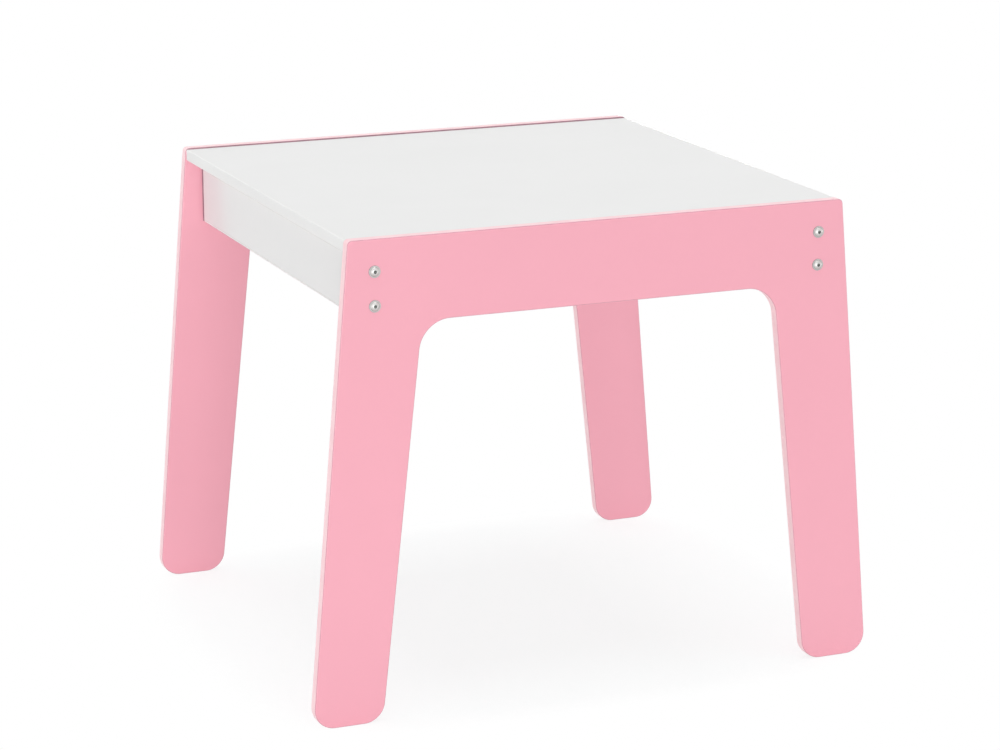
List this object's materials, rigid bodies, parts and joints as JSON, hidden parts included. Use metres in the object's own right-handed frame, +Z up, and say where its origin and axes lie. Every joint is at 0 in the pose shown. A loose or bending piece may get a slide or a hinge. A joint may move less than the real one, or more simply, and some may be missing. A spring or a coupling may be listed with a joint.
{
  "type": "kids table",
  "caption": "Low children's play table with a white top set between pink inverted-U board frames with splayed legs, held by flanged button-head bolts screwed into white side aprons.",
  "frame": {"origin": "on the floor, at the centre of the table's footprint", "axes": "+X along the frames to the right, +Y from the front frame to the rear frame, +Z up"},
  "size_m": [0.6002, 0.5314, 0.48],
  "materials": {
    "pink_paint": "satin pink lacquer on medium density fibreboard",
    "white_board": "satin white facing on medium density fibreboard",
    "white_edge_band": "satin white edge band",
    "bolt_steel": "nickel-plated steel",
    "zinc_steel": "zinc-plated steel",
    "dowel_wood": "raw fluted beech"
  },
  "bodies": {
    "root": {"front_frame": "pink_paint", "rear_frame": "pink_paint", "table_top": "white_board", "left_apron": "white_board", "right_apron": "white_board", "top_left_edge_band": "white_edge_band", "top_right_edge_band": "white_edge_band", "left_apron_edge_band": "white_edge_band", "right_apron_edge_band": "white_edge_band", "front_frame_bolts": "bolt_steel", "rear_frame_bolts": "bolt_steel", "left_apron_barrel_nuts": "zinc_steel", "right_apron_barrel_nuts": "zinc_steel", "front_left_bracket": "zinc_steel", "front_right_bracket": "zinc_steel", "rear_left_bracket": "zinc_steel", "rear_right_bracket": "zinc_steel", "bracket_top_screws": "zinc_steel", "bracket_apron_screws": "zinc_steel", "front_top_dowels": "dowel_wood", "rear_top_dowels": "dowel_wood"}
  },
  "joints": []
}
